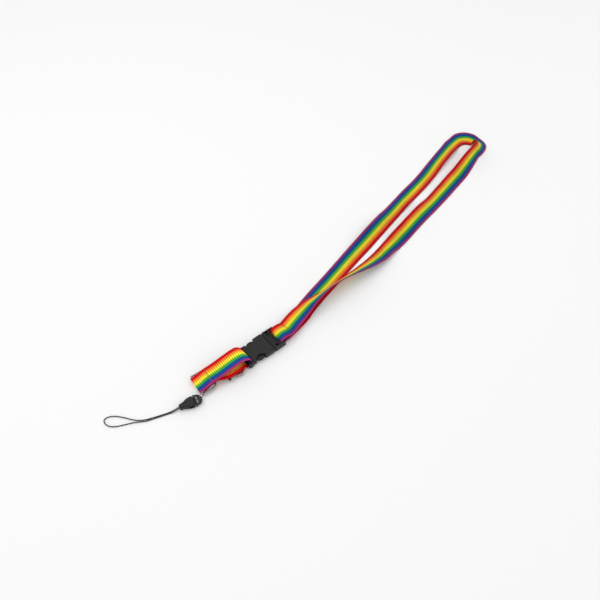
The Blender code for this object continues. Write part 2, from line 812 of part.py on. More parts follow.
def connector_body(frame):
    """The tapered shell that takes the clip's arms and holds the string's two ends."""
    outline = mirrored(
        [
            (BODY_START, 5.1 * MM),
            (7.2 * MM, 5.6 * MM),
            (10.5 * MM, 5.5 * MM),
            (13.5 * MM, 4.6 * MM),
            (16.0 * MM, 3.4 * MM),
            (18.0 * MM, 2.7 * MM),
            (20.2 * MM, 2.5 * MM),
            (BODY_END, 1.8 * MM),
        ]
    )
    body = plate("connector_body", frame, outline, -2.6 * MM, 2.6 * MM)
    bevel(body, 0.9 * MM)
    cavity = block(
        "body_cavity_cutter",
        frame,
        (BODY_START - 1.0 * MM, 13.6 * MM),
        (-4.3 * MM, 4.3 * MM),
        (-1.5 * MM, 1.5 * MM),
    )
    cut(body, cavity)
    for side in (-1.0, 1.0):
        name = "left" if side > 0 else "right"
        window = block(
            f"body_window_cutter_{name}",
            frame,
            (8.4 * MM, 12.6 * MM),
            tuple(sorted((side * 3.6 * MM, side * 7.0 * MM))),
            (-1.5 * MM, 1.5 * MM),
        )
        cut(body, window)
    cord_way = block(
        "body_cord_cutter",
        frame,
        (17.5 * MM, BODY_END + 1.0 * MM),
        (-1.5 * MM, 1.5 * MM),
        (-0.85 * MM, 0.85 * MM),
    )
    cut(body, cord_way)
    give_material(body, "black_plastic")
    return body


def phone_loop_cord(origin):
    """One cord: out of the connector, round the loop, and back beside itself."""
    start = CORD_SPACING / 2 / MM
    mouth_x, mouth_y = in_plan(origin, CONNECTOR_YAW, BODY_END, 0.0)
    mouth = Vector((mouth_x / MM, mouth_y / MM, CONNECTOR_HEIGHT / MM))
    yaw = math.radians(CONNECTOR_YAW)
    along = Vector((math.cos(yaw), math.sin(yaw), 0.0))
    across = Vector((-along.y, along.x, 0.0))
    z = CORD_RADIUS / MM + 0.05
    out = [
        mouth - along * 2.5 - across * start,
        mouth + along * 1.0 - across * start,
        mouth + along * 4.0 - across * start - Vector((0.0, 0.0, 1.1)),
        Vector((-276.6, 8.4, z + 0.2)),
        Vector((-283.0, 11.9, z)),
        Vector((-290.0, 15.7, z)),
        Vector((-296.5, 19.8, z)),
        Vector((-301.5, 24.5, z)),
        Vector((-305.0, 30.0, z)),
        Vector((-308.2, 36.5, z)),
        Vector((-312.0, 43.0, z)),
        Vector((-317.0, 48.0, z)),
        Vector((-322.0, 49.0, z)),
        Vector((-324.2, 45.0, z)),
        Vector((-323.0, 39.5, z)),
        Vector((-318.5, 34.5, z)),
        Vector((-312.0, 30.0, z)),
        Vector((-305.5, 25.6, z)),
        Vector((-299.6, 20.3, z)),
    ]
    back = [
        Vector((-296.0, 17.5, z)),
        Vector((-289.3, 13.9, z)),
        Vector((-282.3, 10.2, z)),
        Vector((-275.9, 6.8, z + 0.2)),
        mouth + along * 4.0 + across * start - Vector((0.0, 0.0, 1.1)),
        mouth + along * 1.0 + across * start,
        mouth - along * 2.5 + across * start,
    ]
    points = smooth_path([point * MM for point in out + back], 2.2 * MM)
    cord = wire("phone_loop_cord", None, points, CORD_RADIUS, 2)
    give_material(cord, "black_cord")
    return cord


def build():
    clear_scene()
    neck_strap()
    short_strap()

    buckle = empty_frame("buckle_frame", (*BUCKLE_AT, 0.0), BUCKLE_YAW)
    buckle_plug(buckle)
    plug_arm(buckle, "plug_arm_left", 1.0)
    plug_arm(buckle, "plug_arm_right", -1.0)
    buckle_socket(buckle)

    d_ring()
    eye_x, eye_y = in_plan(FOLD_AT, FOLD_YAW, EYE_AT_DEPTH, 0.0)
    hook = empty_frame("hook_frame", (eye_x, eye_y, HOOK_HEIGHT), HOOK_YAW)
    swivel_eye(hook)
    swivel_rivet(hook)
    hook_body(hook)
    hook_gate(hook)
    gate_pin(hook)
    gate_spring(hook)

    link_at = in_plan(FOLD_AT, FOLD_YAW, *LINK_AT)
    link_frame = empty_frame("link_frame", (*link_at, LINK_HEIGHT), LINK_YAW)
    link_ring(link_frame)
    hole_at = in_plan(link_at, LINK_YAW, HOLE_FROM_LINK, 0.0)
    connector = empty_frame("connector_frame", (*hole_at, CONNECTOR_HEIGHT), CONNECTOR_YAW)
    connector_clip(connector)
    clip_arm(connector, "clip_arm_left", 1.0)
    clip_arm(connector, "clip_arm_right", -1.0)
    connector_body(connector)
    phone_loop_cord(hole_at)

    for obj in bpy.data.objects:
        if obj.parent is None:
            obj.location = obj.location + Vector(CENTRING)


build()
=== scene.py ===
"""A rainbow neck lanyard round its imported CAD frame: woven ribbons, stitches, a braided string,
moulded plastic and plated metal, on a plain pale table."""

import math

import bmesh
import bpy
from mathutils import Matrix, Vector


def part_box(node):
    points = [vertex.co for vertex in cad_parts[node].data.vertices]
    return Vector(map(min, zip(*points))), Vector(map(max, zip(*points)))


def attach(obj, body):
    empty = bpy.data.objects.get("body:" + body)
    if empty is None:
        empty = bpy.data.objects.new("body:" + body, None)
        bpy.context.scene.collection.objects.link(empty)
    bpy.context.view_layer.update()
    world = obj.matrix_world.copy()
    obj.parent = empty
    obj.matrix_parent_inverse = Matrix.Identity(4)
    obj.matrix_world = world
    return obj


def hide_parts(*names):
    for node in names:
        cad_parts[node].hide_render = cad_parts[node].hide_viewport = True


MM = 0.001
TURN = 2.0 * math.pi

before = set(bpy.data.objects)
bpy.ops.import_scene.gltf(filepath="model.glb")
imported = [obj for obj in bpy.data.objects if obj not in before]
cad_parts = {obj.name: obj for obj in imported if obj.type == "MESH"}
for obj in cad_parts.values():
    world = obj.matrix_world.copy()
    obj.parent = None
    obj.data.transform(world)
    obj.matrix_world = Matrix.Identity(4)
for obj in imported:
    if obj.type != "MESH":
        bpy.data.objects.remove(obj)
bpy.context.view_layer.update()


# ---------------------------------------------------------------- where things are

# From the lanyard's own origin, which the plans below use, to the frame's
CENTRING = Vector((2.9, 0.2, 0.0)) * MM
RIBBON_WIDTH = 20.0 * MM
RIBBON_THICK = 0.74 * MM
# A flat ribbon's middle above the table, in mm
LIFT = 0.5

# Places in plan in mm, headings in degrees
BUCKLE_AT = (-166.0, -8.0)
BUCKLE_YAW = -9.5
FOLD_AT = (-239.6, 8.6)
FOLD_YAW = -13.5
LINK_YAW = 193.7
CONNECTOR_YAW = 159.0


def in_plan(at, yaw_degrees, x, y):
    """A point of a turned frame, in the lanyard's own X and Y, all in mm."""
    yaw = math.radians(yaw_degrees)
    return (
        at[0] + x * math.cos(yaw) - y * math.sin(yaw),
        at[1] + x * math.sin(yaw) + y * math.cos(yaw),
    )


LINK_AT = in_plan(FOLD_AT, FOLD_YAW, -1.57, -12.33)
CLIP_HOLE = in_plan(LINK_AT, LINK_YAW, 3.46, 0.0)


def placed(name, data):
    """A new object in the scene with this data."""
    obj = bpy.data.objects.new(name, data)
    bpy.context.scene.collection.objects.link(obj)
    return obj


def placed_mesh(name, mesh_data):
    """A new object from a bmesh, which is freed."""
    bmesh.ops.recalc_face_normals(mesh_data, faces=mesh_data.faces)
    mesh = bpy.data.meshes.new(name)
    mesh_data.to_mesh(mesh)
    mesh_data.free()
    return placed(name, mesh)


# ---------------------------------------------------------------- camera, lights and table


CAMERA_TARGET = Vector((-0.0891, 0.0042, 0.0))
CAMERA_BACK = Vector((-0.46465, -0.40391, 0.78801))
CAMERA_DISTANCE = 0.7438
CAMERA_LENS_MM = 41.58
CAMERA_SENSOR_MM = 36.0
WORLD_STRENGTH = 0.88
TABLE_REACH = 3.0
TABLE_BELOW_BUCKLE = 0.25 * MM


def make_camera():
    camera = placed("camera", bpy.data.cameras.new("camera"))
    camera.data.lens = CAMERA_LENS_MM
    camera.data.sensor_width = CAMERA_SENSOR_MM
    camera.data.clip_start = 0.01
    back = CAMERA_BACK.normalized()
    camera.location = CAMERA_TARGET + back * CAMERA_DISTANCE
    camera.rotation_mode = "QUATERNION"
    camera.rotation_quaternion = (-back).to_track_quat("-Z", "Y")
    bpy.context.scene.camera = camera


def soft_light(name, at, size, power):
    """A square white light that faces the origin."""
    light = bpy.data.lights.new(name, "AREA")
    light.shape = "SQUARE"
    light.size = size
    light.energy = power
    obj = placed(name, light)
    obj.location = at
    obj.rotation_mode = "QUATERNION"
    obj.rotation_quaternion = (-Vector(at)).to_track_quat("-Z", "Y")


def make_studio():
    world = bpy.data.worlds.new("studio")
    world.use_nodes = True
    background = world.node_tree.nodes["Background"]
    background.inputs["Color"].default_value = (1.0, 1.0, 1.0, 1.0)
    background.inputs["Strength"].default_value = WORLD_STRENGTH
    bpy.context.scene.world = world
    bpy.context.scene.view_settings.view_transform = "Standard"
    soft_light("overhead", (-0.25, 0.35, 0.95), 0.9, 1.7)
    soft_light("side", (0.75, -0.55, 0.55), 0.6, 0.4)

    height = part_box("buckle_plug")[0].z - TABLE_BELOW_BUCKLE
    signs = ((-1, -1), (1, -1), (1, 1), (-1, 1))
    corners = [(TABLE_REACH * x, TABLE_REACH * y, height) for x, y in signs]
    mesh = bpy.data.meshes.new("table")
    mesh.from_pydata(corners, [], [(0, 1, 2, 3)])
    table = placed("table", mesh)
    material, _, _, shader = new_material("table_top", (0.96, 0.96, 0.96), 0.7)
    shader.inputs["Specular IOR Level"].default_value = 0.2
    table.data.materials.append(material)


# ---------------------------------------------------------------- node helpers


def new_material(name, colour, roughness, metallic=0.0):
    material = bpy.data.materials.new(name)
    material.use_nodes = True
    nodes, links = material.node_tree.nodes, material.node_tree.links
    shader = nodes["Principled BSDF"]
    shader.inputs["Base Color"].default_value = (*colour, 1.0)
    shader.inputs["Roughness"].default_value = roughness
    shader.inputs["Metallic"].default_value = metallic
    return material, nodes, links, shader


def plug_in(links, value, socket):
    """A number goes on the socket, anything else is linked to it."""
    if isinstance(value, (int, float)):
        socket.default_value = value
    else:
        links.new(value, socket)


def maths(nodes, links, operation, a, b=0.0, c=0.0):
    node = nodes.new("ShaderNodeMath")
    node.operation = operation
    for value, socket in zip((a, b, c), node.inputs):
        plug_in(links, value, socket)
    return node.outputs[0]


def noise(nodes, links, vector, scale, detail=3.0, roughness=0.55):
    node = nodes.new("ShaderNodeTexNoise")
    node.inputs["Scale"].default_value = scale
    node.inputs["Detail"].default_value = detail
    node.inputs["Roughness"].default_value = roughness
    links.new(vector, node.inputs["Vector"])
    return node.outputs["Fac"]


def spread(nodes, links, value, low, high, low_from=0.0, high_from=1.0):
    """Maps a value to another range."""
    node = nodes.new("ShaderNodeMapRange")
    links.new(value, node.inputs["Value"])
    node.inputs["From Min"].default_value = low_from
    node.inputs["From Max"].default_value = high_from
    node.inputs["To Min"].default_value = low
    node.inputs["To Max"].default_value = high
    return node.outputs["Result"]


def vector_of(nodes, links, x, y, z=0.0):
    node = nodes.new("ShaderNodeCombineXYZ")
    for value, socket in zip((x, y, z), node.inputs):
        plug_in(links, value, socket)
    return node.outputs[0]


def ramp(nodes, links, value, stops):
    node = nodes.new("ShaderNodeValToRGB")
    elements = node.color_ramp.elements
    while len(elements) < len(stops):
        elements.new(0.5)
    for element, (at, colour) in zip(elements, stops):
        element.position = at
        element.color = (*colour, 1.0)
    links.new(value, node.inputs["Fac"])
    return node.outputs["Color"]


def shade_of(colour, amount):
    """A fixed colour times an amount, up to 1."""
    return tuple(min(1.0, channel * amount) for channel in colour)


def scaled_colour(nodes, links, colour, amount):
    """A colour times a grey amount."""
    node = nodes.new("ShaderNodeVectorMath")
    node.operation = "SCALE"
    links.new(colour, node.inputs[0])
    plug_in(links, amount, node.inputs["Scale"])
    return node.outputs[0]


def bump(nodes, links, height, distance, strength, shader):
    node = nodes.new("ShaderNodeBump")
    node.inputs["Distance"].default_value = distance
    node.inputs["Strength"].default_value = strength
    links.new(height, node.inputs["Height"])
    links.new(node.outputs["Normal"], shader.inputs["Normal"])


def srgb(r, g, b):
    """A screen colour, 0 to 255, as linear light."""
    def linear(value):
        value /= 255.0
        return value / 12.92 if value <= 0.04045 else ((value + 0.055) / 1.055) ** 2.4

    return tuple(linear(value) for value in (r, g, b))


# ---------------------------------------------------------------- materials

RED_DARK = srgb(150, 0, 10)
RED = srgb(196, 2, 12)
RED_LIGHT = srgb(214, 44, 30)
ORANGE = srgb(230, 112, 44)
GOLD = srgb(226, 162, 44)
YELLOW = srgb(236, 214, 48)
LIME = srgb(146, 190, 50)
GREEN = srgb(60, 158, 58)
TEAL = srgb(0, 96, 96)
BLUE = srgb(6, 70, 148)
INDIGO = srgb(40, 50, 132)
PURPLE = srgb(136, 36, 94)
PINK = srgb(176, 52, 108)

# Across the ribbon, from its red edge to its purple edge
STRIPES = [
    (0.000, RED_DARK),
    (0.030, RED),
    (0.145, RED),
    (0.170, RED_LIGHT),
    (0.205, ORANGE),
    (0.260, ORANGE),
    (0.295, GOLD),
    (0.335, GOLD),
    (0.375, YELLOW),
    (0.475, YELLOW),
    (0.520, LIME),
    (0.560, GREEN),
    (0.640, GREEN),
    (0.680, TEAL),
    (0.715, BLUE),
    (0.820, BLUE),
    (0.855, INDIGO),
    (0.890, PURPLE),
    (0.960, PINK),
    (1.000, PURPLE),
]


def ribbon_material(name, rib_pitch, brightness, length=0.0):
    """Rainbow warp stripes with yarn streaks. The UV map runs in ribbon widths along and across.
    With a length, the ribbon is a little darker away from its two ends, as in the photograph."""
    material, nodes, links, shader = new_material(name, (0.5, 0.3, 0.2), 0.62)
    shader.inputs["Sheen Weight"].default_value = 0.05
    shader.inputs["Sheen Roughness"].default_value = 0.4
    shader.inputs["Specular IOR Level"].default_value = 0.10
    uv = nodes.new("ShaderNodeTexCoord").outputs["UV"]
    split = nodes.new("ShaderNodeSeparateXYZ")
    links.new(uv, split.inputs[0])
    along, across = split.outputs["X"], split.outputs["Y"]

    drift_place = vector_of(nodes, links, maths(nodes, links, "MULTIPLY", along, 0.6), across)
    wander = noise(nodes, links, drift_place, 2.0)
    wobble = spread(nodes, links, wander, -0.012, 0.012)
    stripe_at = maths(nodes, links, "ADD", across, wobble)
    colour = ramp(nodes, links, stripe_at, STRIPES)

    yarn_place = vector_of(
        nodes,
        links,
        maths(nodes, links, "MULTIPLY", along, 0.7),
        maths(nodes, links, "MULTIPLY", across, 46.0),
    )
    yarns = noise(nodes, links, yarn_place, 1.0, 4.0, 0.6)
    yarn_shade = spread(nodes, links, yarns, 0.80, 1.16, 0.25, 0.75)
    fade_place = vector_of(nodes, links, along, maths(nodes, links, "MULTIPLY", across, 1.5))
    fade = spread(nodes, links, noise(nodes, links, fade_place, 0.9, 2.0), 0.90, 1.10, 0.3, 0.7)
    shade = maths(nodes, links, "MULTIPLY", yarn_shade, fade)

    warp_pitch, weft_pitch = 0.42 * MM, 0.50 * MM
    warp_phase = maths(nodes, links, "MULTIPLY", across, TURN * RIBBON_WIDTH / warp_pitch)
    weft_phase = maths(nodes, links, "MULTIPLY", along, TURN * RIBBON_WIDTH / weft_pitch)
    warp = maths(nodes, links, "SINE", warp_phase)
    twill = maths(nodes, links, "SINE", maths(nodes, links, "ADD", weft_phase, warp_phase))
    if rib_pitch:
        rib_phase = maths(nodes, links, "MULTIPLY", along, TURN * RIBBON_WIDTH / rib_pitch)
        rib = maths(nodes, links, "COSINE", rib_phase)
        # Painted shade in the rib valleys and painted highlight on the rib crests: the colour is
        # darker where the ribs dip and lighter where they rise.
        painted_rib_shade = spread(nodes, links, rib, 0.60, 1.24, -1.0, 1.0)
        shade = maths(nodes, links, "MULTIPLY", shade, painted_rib_shade)
        warp_height = maths(nodes, links, "MULTIPLY", warp, 0.35)
        height = maths(nodes, links, "MULTIPLY_ADD", rib, 0.5, warp_height)
    else:
        warp_height = maths(nodes, links, "MULTIPLY", warp, 0.3)
        height = maths(nodes, links, "MULTIPLY_ADD", twill, 0.5, warp_height)
    if length:
        half = length / RIBBON_WIDTH / 2.0
        offset = maths(nodes, links, "SUBTRACT", along, half)
        from_middle = maths(nodes, links, "ABSOLUTE", offset)
        # Painted shade: the ribbon's colour is darker away from its two ends, where less light
        # falls on it.
        painted_far_shade = spread(nodes, links, from_middle, 0.88, 1.03, half - 9.0, half - 2.0)
        shade = maths(nodes, links, "MULTIPLY", shade, painted_far_shade)
    shade = maths(nodes, links, "MULTIPLY", shade, brightness)
    links.new(scaled_colour(nodes, links, colour, shade), shader.inputs["Base Color"])
    links.new(spread(nodes, links, yarns, 0.50, 0.72), shader.inputs["Roughness"])
    bump(nodes, links, height, 0.06 * MM, 0.55, shader)
    return material


def thread_material(name, colour):
    material, nodes, links, shader = new_material(name, colour, 0.6)
    shader.inputs["Sheen Weight"].default_value = 0.2
    place = nodes.new("ShaderNodeTexCoord").outputs["Object"]
    wave = nodes.new("ShaderNodeTexWave")
    wave.wave_type = "BANDS"
    wave.bands_direction = "DIAGONAL"
    wave.inputs["Scale"].default_value = 900.0
    wave.inputs["Distortion"].default_value = 0.6
    links.new(place, wave.inputs["Vector"])
    # Painted shade and painted highlight: the colour runs from dark in the twist's grooves to
    # light on its crowns.
    tint = ramp(
        nodes,
        links,
        wave.outputs["Fac"],
        [(0.0, shade_of(colour, 0.55)), (1.0, shade_of(colour, 1.3))],
    )
    links.new(tint, shader.inputs["Base Color"])
    bump(nodes, links, wave.outputs["Fac"], 0.05 * MM, 0.6, shader)
    return material


def plastic_material(name, colour, roughness, grain):
    """Moulded plastic with a fine spark-eroded grain, slightly polished edges, and a painted
    highlight that lightens the colour along the edges.
    """
    material, nodes, links, shader = new_material(name, colour, roughness)
    shader.inputs["Specular IOR Level"].default_value = 0.30
    place = nodes.new("ShaderNodeTexCoord").outputs["Object"]
    fine = noise(nodes, links, place, grain, 3.0, 0.6)
    broad = noise(nodes, links, place, 140.0, 4.0, 0.55)
    convexity = nodes.new("ShaderNodeNewGeometry").outputs["Pointiness"]
    edge = spread(nodes, links, convexity, 0.0, 1.0, 0.52, 0.60)
    # Painted highlight: the colour is mixed towards a lighter one along the sharp edges, standing
    # in for glints there.
    light = tuple(min(1.0, c * 1.55 + 0.006) for c in colour)
    stops = [(0.30, shade_of(colour, 0.72)), (0.52, colour), (0.75, shade_of(colour, 1.2))]
    tint = ramp(nodes, links, broad, stops)
    # In a colour mix, input 0 is the factor, 6 and 7 are the colours, and output 2 is the result
    mix = nodes.new("ShaderNodeMix")
    mix.data_type = "RGBA"
    links.new(maths(nodes, links, "MULTIPLY", edge, 0.6), mix.inputs[0])
    links.new(tint, mix.inputs[6])
    mix.inputs[7].default_value = (*light, 1.0)
    links.new(mix.outputs[2], shader.inputs["Base Color"])
    rough = maths(
        nodes,
        links,
        "SUBTRACT",
        spread(nodes, links, broad, roughness - 0.07, roughness + 0.09),
        maths(nodes, links, "MULTIPLY", edge, 0.12),
    )
    links.new(rough, shader.inputs["Roughness"])
    bump(nodes, links, fine, 0.03 * MM, 0.35, shader)
    return material


def metal_material(name, colour, roughness, streak_scale):
    """Plated wire or casting: faint haze, fine scratches, and painted shade that darkens the
    hollows.
    """
    material, nodes, links, shader = new_material(name, colour, roughness, 1.0)
    place = nodes.new("ShaderNodeTexCoord").outputs["Object"]
    stretch = nodes.new("ShaderNodeMapping")
    stretch.inputs["Scale"].default_value = (1.0, 6.0, 2.5)
    links.new(place, stretch.inputs["Vector"])
    scratches = noise(nodes, links, stretch.outputs[0], streak_scale, 5.0, 0.65)
    haze = noise(nodes, links, place, 260.0, 3.0, 0.5)
    convexity = nodes.new("ShaderNodeNewGeometry").outputs["Pointiness"]
    # Painted shade: the colour is darker in the hollows, where shade falls.
    painted_hollow_shade = spread(nodes, links, convexity, 0.55, 1.05, 0.42, 0.53)
    tint = ramp(
        nodes,
        links,
        haze,
        [(0.30, shade_of(colour, 0.86)), (0.55, colour), (0.80, shade_of(colour, 1.06))],
    )
    links.new(scaled_colour(nodes, links, tint, painted_hollow_shade), shader.inputs["Base Color"])
    rough = maths(
        nodes,
        links,
        "ADD",
        spread(nodes, links, scratches, roughness - 0.06, roughness + 0.10, 0.3, 0.7),
        spread(nodes, links, haze, 0.0, 0.06),
    )
    links.new(rough, shader.inputs["Roughness"])
    bump(nodes, links, scratches, 0.01 * MM, 0.25, shader)
    return material


def braid_material(name, colour, length, diameter):
    """Two sets of crossing strands along a cord whose UV runs 0 to 1 along it and round it."""
    material, nodes, links, shader = new_material(name, colour, 0.75)
    shader.inputs["Sheen Weight"].default_value = 0.3
    shader.inputs["Specular IOR Level"].default_value = 0.3
    uv = nodes.new("ShaderNodeTexCoord").outputs["UV"]
    split = nodes.new("ShaderNodeSeparateXYZ")
    links.new(uv, split.inputs[0])
    along = maths(nodes, links, "MULTIPLY", split.outputs["X"], TURN * length / (diameter * 1.5))
    around = maths(nodes, links, "MULTIPLY", split.outputs["Y"], TURN * 4.0)
    one = maths(nodes, links, "SINE", maths(nodes, links, "ADD", along, around))
    other = maths(nodes, links, "SINE", maths(nodes, links, "SUBTRACT", along, around))
    weave = maths(nodes, links, "MAXIMUM", one, other)
    # Painted shade in the gaps between strands and painted highlight on their crowns: the colour
    # runs from dark to light with the weave.
    tint = ramp(
        nodes,
        links,
        spread(nodes, links, weave, 0.0, 1.0, -1.0, 1.0),
        [(0.1, shade_of(colour, 0.35)), (0.7, colour), (1.0, shade_of(colour, 1.7))],
    )
    links.new(tint, shader.inputs["Base Color"])
    bump(nodes, links, weave, 0.08 * MM, 0.7, shader)
    return material


# ---------------------------------------------------------------- ribbons


def smooth_path(points, step):
    """A Catmull-Rom curve through the points, read at about one step apart."""
    padded = [points[0] * 2 - points[1], *points, points[-1] * 2 - points[-2]]
    result = []
    for a, b, c, d in zip(padded, padded[1:], padded[2:], padded[3:]):
        length = math.dist(c[:3], b[:3])
        count = max(1, round(length / step))
        for i in range(count):
            t = i / count
            result.append(
                (
                    b * 2
                    + (c - a) * t
                    + (a * 2 - b * 5 + c * 4 - d) * t**2
                    + (b * 3 - a - c * 3 + d) * t**3
                )
                / 2
            )
    return [*result, points[-1].copy()]


def side_direction(side_degrees, roll_degrees):
    """From the ribbon's red edge to its purple edge. A positive roll raises the red edge."""
    side, roll = math.radians(side_degrees), math.radians(roll_degrees)
    flat = Vector((math.cos(side), math.sin(side), 0.0)) * math.cos(roll)
    return flat - Vector((0.0, 0.0, math.sin(roll)))


def ribbon_rows(stations, step):
    """Centre, across and up at each step along the ribbon, with the distance so far."""
    rows = []
    for x, y, z, side, roll in stations:
        across = side_direction(side, roll)
        place = Vector((x, y, z)) * MM + CENTRING
        rows.append(Vector((*place, *across)))
    rows = smooth_path(rows, step)
    centres = [Vector(row[:3]) for row in rows]
    result, distance = [], 0.0
    for i, row in enumerate(rows):
        ahead = centres[min(i + 1, len(rows) - 1)]
        behind = centres[max(i - 1, 0)]
        along = (ahead - behind).normalized()
        across = Vector(row[3:])
        across = (across - along * across.dot(along)).normalized()
        if i:
            distance += (centres[i] - centres[i - 1]).length
        result.append((centres[i], across, along.cross(across), distance))
    return result


# Of a ribbon's half width: where its edge starts to round, and how far the rounding takes
ROUND_FROM, ROUND_OVER = 0.94, 0.06
# The thicker selvedge: its middle and spread in half widths, and its height
SELVEDGE_AT, SELVEDGE_SPREAD, SELVEDGE_HEIGHT = 0.93, 0.05, 0.05 * MM
RIBBON_COLUMNS = 18


def woven_ribbon(name, stations, step, rib_pitch=0.0, rib_height=0.0, reversed_from=None):
    """A closed woven strip: domed across, with rounded edges, and ribbed where it has a pitch.
    From reversed_from on, in metres along it, the colours run the other way across."""
    rows = ribbon_rows(stations, step)
    mesh_data = bmesh.new()
    uv_layer = mesh_data.loops.layers.uv.new("ribbon")
    # Closer together towards the edges
    across_at = [
        0.55 * -math.cos(math.pi * i / RIBBON_COLUMNS) * 0.5 + 0.45 * (i / RIBBON_COLUMNS - 0.5)
        for i in range(RIBBON_COLUMNS + 1)
    ]
    section = [(value, 1.0) for value in across_at[1:-1]]
    section = [(across_at[0], 0.0), *section, (across_at[-1], 0.0)]
    section += [(value, -1.0) for value in reversed(across_at[1:-1])]
    rings = []
    for centre, across, up, distance in rows:
        phase = TURN * distance / rib_pitch if rib_pitch else 0.0
        swell = rib_height * (math.cos(phase) - 1.0) / 2.0
        ring = []
        for value, face in section:
            inner = abs(value) * 2.0
            past = max(0.0, (inner - ROUND_FROM) / ROUND_OVER)
            rounding = math.sqrt(max(0.0, 1.0 - past**2))
            bulge = math.exp(-(((inner - SELVEDGE_AT) / SELVEDGE_SPREAD) ** 2)) - 1.0
            half = (RIBBON_THICK / 2 + swell) * rounding + SELVEDGE_HEIGHT * bulge
            width = RIBBON_WIDTH - 0.2 * MM + swell * 1.5
            offset = up * face * max(half, 0.08 * MM)
            ring.append(mesh_data.verts.new(centre + across * value * width + offset))
        rings.append(ring)
    count = len(section)
    spots = [value + 0.5 for value, _ in section]

    def colour_spot(distance, spot):
        """The place across the stripes at this distance along."""
        turned = reversed_from is not None and distance > reversed_from
        return 1.0 - spot if turned else spot

    for i in range(len(rings) - 1):
        near, far = rows[i][3], rows[i + 1][3]
        middle = (near + far) / 2
        ring, following = rings[i], rings[i + 1]
        for j in range(count):
            after = (j + 1) % count
            corners = (ring[j], ring[after], following[after], following[j])
            face = mesh_data.faces.new(corners)
            face.smooth = True
            spot_a, spot_b = colour_spot(middle, spots[j]), colour_spot(middle, spots[after])
            places = ((near, spot_a), (near, spot_b), (far, spot_b), (far, spot_a))
            for loop, (distance, spot) in zip(face.loops, places):
                loop[uv_layer].uv = (distance / RIBBON_WIDTH, spot)
    for i, end in ((0, rings[0]), (len(rings) - 1, rings[-1])):
        face = mesh_data.faces.new(end)
        for loop, spot in zip(face.loops, spots):
            distance = rows[i][3]
            loop[uv_layer].uv = (distance / RIBBON_WIDTH, colour_spot(distance, spot))
    return placed_mesh(name, mesh_data), rows


def in_buckle(x, z):
    px, py = in_plan(BUCKLE_AT, BUCKLE_YAW, x, 0.0)
    return (px, py, z, BUCKLE_YAW - 90.0, 0.0)


def lying(x, y, side, roll, over=0.0):
    """A station whose lower edge rests on the table, or over mm above it."""
    rise = RIBBON_WIDTH / MM / 2 * abs(math.sin(math.radians(roll)))
    return (x, y, rise + LIFT + over, side, roll)


